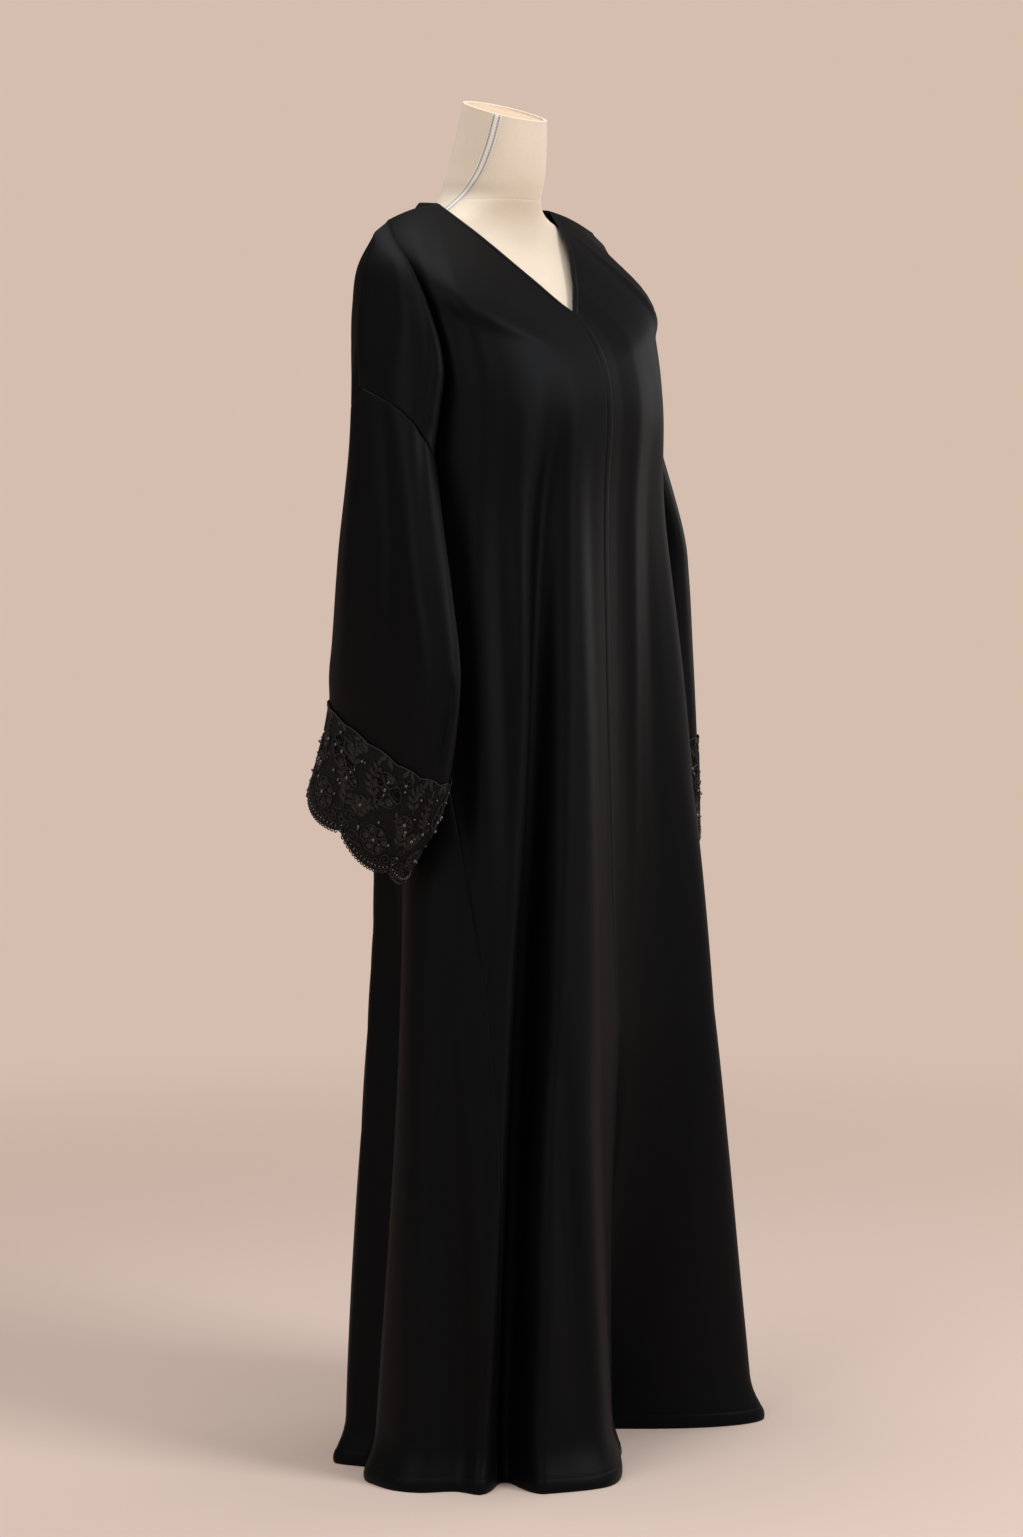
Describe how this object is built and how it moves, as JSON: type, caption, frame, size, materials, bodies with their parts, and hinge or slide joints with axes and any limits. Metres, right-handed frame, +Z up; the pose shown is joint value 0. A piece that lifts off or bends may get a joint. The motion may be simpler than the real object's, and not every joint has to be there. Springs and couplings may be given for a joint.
{
  "type": "abaya on a limbless dress form",
  "caption": "Full-length black open-front abaya with a V neck, wide sleeves and lace cuffs, hanging in folds on a cloth-covered limbless dress form with a round floor stand.",
  "frame": {"origin": "on the floor, at the middle of the underside of the stand's round base, which is on the axis of the dress form", "axes": "+Z up along the garment's length; the front of the garment faces -Y and the wearer's left is +X"},
  "size_m": [0.6151, 0.4096, 1.5682],
  "materials": {
    "crepe": "matt-satin crepe",
    "lace": "beaded corded lace",
    "form_cover": "plain linen",
    "form_cap": "plain linen",
    "stand_metal": "satin"
  },
  "bodies": {
    "root": {"front_right": "crepe", "front_left": "crepe", "back": "crepe", "sleeve_right": "crepe", "sleeve_left": "crepe", "cuff_right": "lace", "cuff_left": "lace", "form_torso": "form_cover", "form_neck_cap": "form_cap", "form_pole": "stand_metal", "form_base": "stand_metal"}
  },
  "joints": []
}
